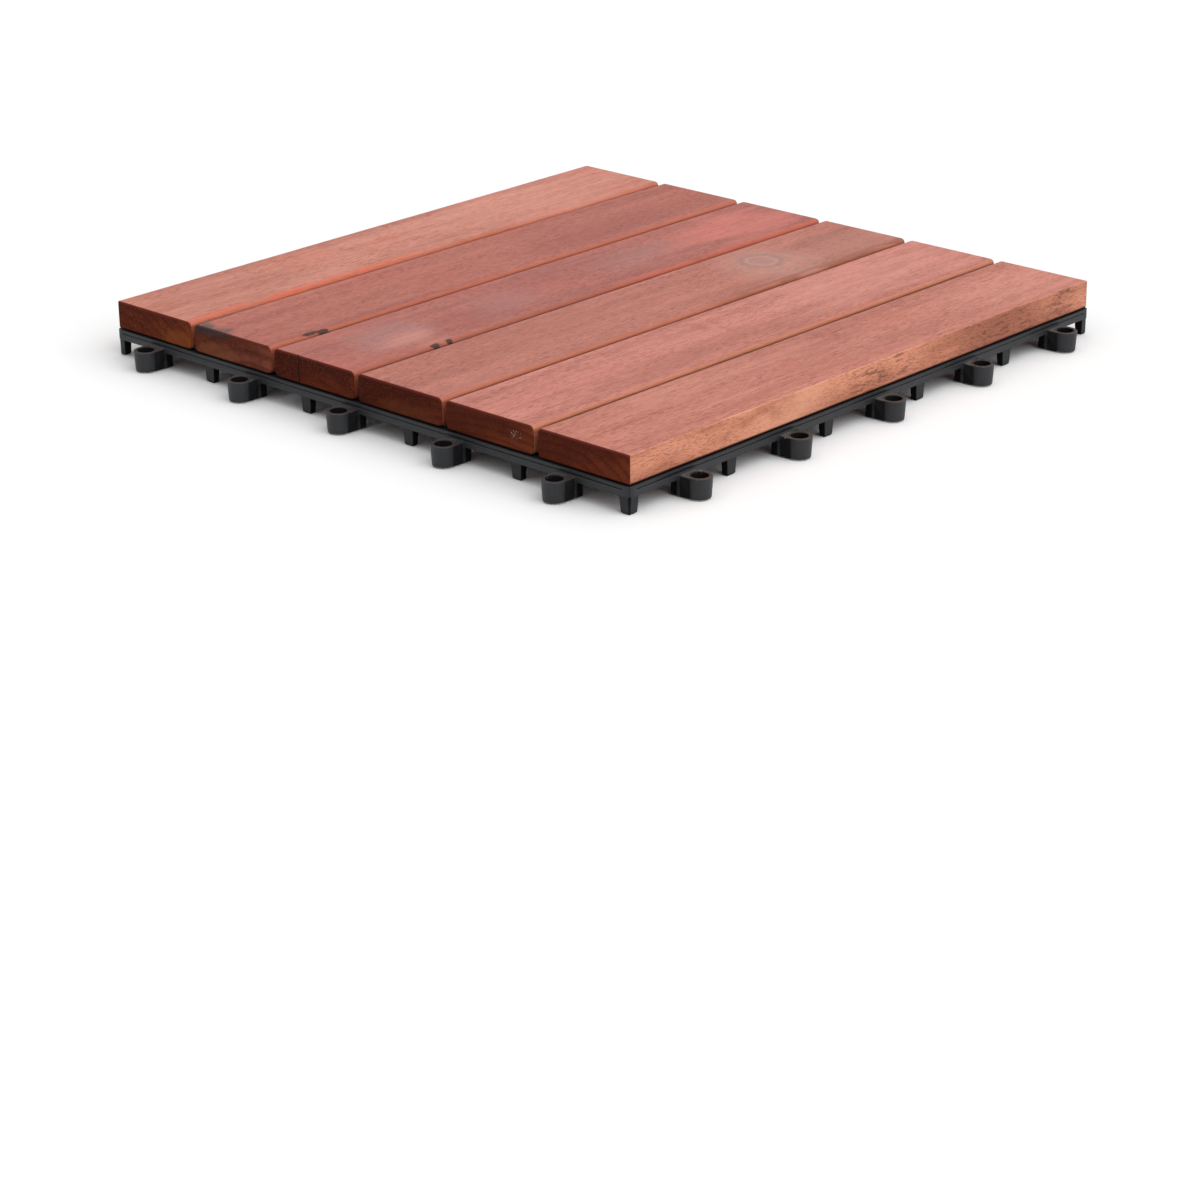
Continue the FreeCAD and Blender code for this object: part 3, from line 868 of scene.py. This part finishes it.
class DECK_OT_slats(bpy.types.Operator):
    """Builds the six hardwood slats over their CAD solids"""
    bl_idname = "deck.slats"
    bl_label = "Hardwood slats"

    def execute(self, context):
        sizes = context.scene.deck_sizes
        for index, node in enumerate(SLATS):
            look = context.scene.deck_slats[index]
            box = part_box(node)
            centre = (box[0][0] + box[1][0]) / 2 / MM
            half_width = (box[1][0] - box[0][0]) / 2 / MM
            outermost = max(abs(box[0][0]), abs(box[1][0])) > sizes.outer_from
            outward = math.copysign(1.0, centre) if outermost else 0.0
            top = hardwood("hardwood_%d" % (index + 1), centre, half_width, outward, look,
                           SLAT_MARKS[node])
            end = end_grain("end_grain_%d" % (index + 1), centre, half_width, look,
                            END_MARKS.get(node, []))
            mesh = slat_mesh(box, sizes, look.seed)
            obj = piece("hardwood_" + node, mesh, [top, end])
            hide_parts(node)
        return {"FINISHED"}


class DECK_OT_grid(bpy.types.Operator):
    """Builds the moulded grid with eased edges over its CAD solid"""
    bl_idname = "deck.grid"
    bl_label = "Plastic grid"

    def execute(self, context):
        sizes = context.scene.deck_sizes
        material = black_plastic("black_plastic", context.scene.deck_colours, sizes)
        obj = piece("moulded_grid", grid_mesh(sizes), [material])
        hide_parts("base_grid")
        return {"FINISHED"}


class DECK_OT_screws(bpy.types.Operator):
    """Builds the screws that hold the slats from below"""
    bl_idname = "deck.screws"
    bl_label = "Screws"

    def execute(self, context):
        noise.seed_set(7)
        # half a screw's width is what the screws' box has past the middle of the last slat
        box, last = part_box("screws"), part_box("slat_6")
        inset = (box[1][0] - box[0][0]) / 2 - (last[0][0] + last[1][0]) / 2
        rows = (box[0][1] + inset, box[1][1] - inset)
        joined = bmesh.new()
        for node in SLATS:
            low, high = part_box(node)
            for y in rows:
                one = screw_mesh((low[0] + high[0]) / 2, y, context.scene.deck_sizes)
                mesh = bpy.data.meshes.new("one_screw")
                one.to_mesh(mesh)
                one.free()
                joined.from_mesh(mesh)
                bpy.data.meshes.remove(mesh)
        material = screw_steel("screw_steel", context.scene.deck_colours)
        obj = piece("pan_head_screws", joined, [material])
        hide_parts("screws")
        return {"FINISHED"}


class DECK_OT_stage(bpy.types.Operator):
    """Sets the pale floor, the soft lamps and the camera"""
    bl_idname = "deck.stage"
    bl_label = "Stage"

    def execute(self, context):
        scene = context.scene
        stage = scene.deck_stage
        scene.view_settings.view_transform = "Standard"
        bm = bmesh.new()
        bmesh.ops.create_grid(bm, x_segments=2, y_segments=2, size=FLOOR_HALF)
        bmesh.ops.translate(bm, vec=(0, 0, -FLOOR_DROP), verts=bm.verts)
        mesh = bpy.data.meshes.new("floor")
        bm.to_mesh(mesh)
        bm.free()
        mesh.materials.append(pale_floor("pale_floor", scene.deck_colours))
        floor = bpy.data.objects.new("floor", mesh)
        scene.collection.objects.link(floor)
        self.sky(scene, stage)
        self.lamp(scene, "key_lamp", (1.0, 0.1, 0.75), 70.0, stage.key)
        self.lamp(scene, "top_lamp", (0.1, 0.3, 1.0), 90.0, stage.top)
        self.lamp(scene, "fill_lamp", (-0.3, -1.0, 0.8), 80.0, stage.fill)
        self.camera(scene, stage)
        return {"FINISHED"}

    @staticmethod
    def sky(scene, stage):
        world = bpy.data.worlds.new("studio")
        world.use_nodes = True
        n = Nodes(world.node_tree)
        even = n.add("ShaderNodeBackground", {}, {"Color": (1, 1, 1), "Strength": stage.sky})
        white = n.add("ShaderNodeBackground", {}, {"Color": (1, 1, 1), "Strength": 1.0})
        mix = n.add("ShaderNodeMixShader", {},
                    {0: n.seen_directly(), 1: even.outputs[0], 2: white.outputs[0]})
        n.add("ShaderNodeOutputWorld", {}, {"Surface": mix.outputs[0]})
        scene.world = world

    @staticmethod
    def lamp(scene, name, direction, spread, strength):
        data = bpy.data.lights.new(name, "SUN")
        data.angle = math.radians(spread)
        data.energy = strength
        obj = bpy.data.objects.new(name, data)
        obj.matrix_world = Vector(direction).to_track_quat("Z", "Y").to_matrix().to_4x4()
        scene.collection.objects.link(obj)

    @staticmethod
    def camera(scene, stage):
        data = bpy.data.cameras.new("camera")
        data.lens = stage.lens
        data.sensor_width = 36.0
        data.sensor_fit = "HORIZONTAL"
        data.clip_start = 0.01
        data.clip_end = 50.0
        flat = math.cos(stage.elevation)
        away = Vector((flat * math.sin(stage.azimuth), -flat * math.cos(stage.azimuth),
                       math.sin(stage.elevation)))
        side = (-away).cross(Vector((0, 0, 1))).normalized()
        over = side.cross(-away)
        right = math.cos(stage.roll) * side + math.sin(stage.roll) * over
        up = -math.sin(stage.roll) * side + math.cos(stage.roll) * over
        turn = Matrix((right, up, away)).transposed().to_4x4()
        obj = bpy.data.objects.new("camera", data)
        obj.matrix_world = Matrix.Translation(Vector(stage.target) + stage.distance * away) @ turn
        scene.collection.objects.link(obj)
        scene.camera = obj


class DECK_PT_panel(bpy.types.Panel):
    """Deck tile pieces and settings"""
    bl_idname = "DECK_PT_panel"
    bl_label = "Deck tile"
    bl_space_type = "VIEW_3D"
    bl_region_type = "UI"
    bl_category = "Deck tile"

    def draw(self, context):
        for operator in (DECK_OT_slats, DECK_OT_grid, DECK_OT_screws, DECK_OT_stage):
            self.layout.operator(operator.bl_idname)
        scene = context.scene
        for group in (scene.deck_sizes, scene.deck_colours, scene.deck_stage):
            box = self.layout.box()
            for key in group.__annotations__:
                box.prop(group, key)


CLASSES = (TileSizes, SlatLook, TileColours, TileStage, DECK_OT_slats, DECK_OT_grid,
           DECK_OT_screws, DECK_OT_stage, DECK_PT_panel)


def register():
    for cls in CLASSES:
        bpy.utils.register_class(cls)
    bpy.types.Scene.deck_sizes = PointerProperty(type=TileSizes)
    bpy.types.Scene.deck_colours = PointerProperty(type=TileColours)
    bpy.types.Scene.deck_stage = PointerProperty(type=TileStage)
    bpy.types.Scene.deck_slats = CollectionProperty(type=SlatLook)


def unregister():
    for name in ("deck_slats", "deck_stage", "deck_colours", "deck_sizes"):
        delattr(bpy.types.Scene, name)
    for cls in reversed(CLASSES):
        bpy.utils.unregister_class(cls)


def main():
    register()
    looks = bpy.context.scene.deck_slats
    for node in SLATS:
        look = looks.add()
        for key, value in SLAT_LOOKS[node].items():
            setattr(look, key, value)
    bpy.ops.deck.slats()
    bpy.ops.deck.grid()
    bpy.ops.deck.screws()
    bpy.ops.deck.stage()
    bpy.context.view_layer.update()


if __name__ == "__main__":
    main()
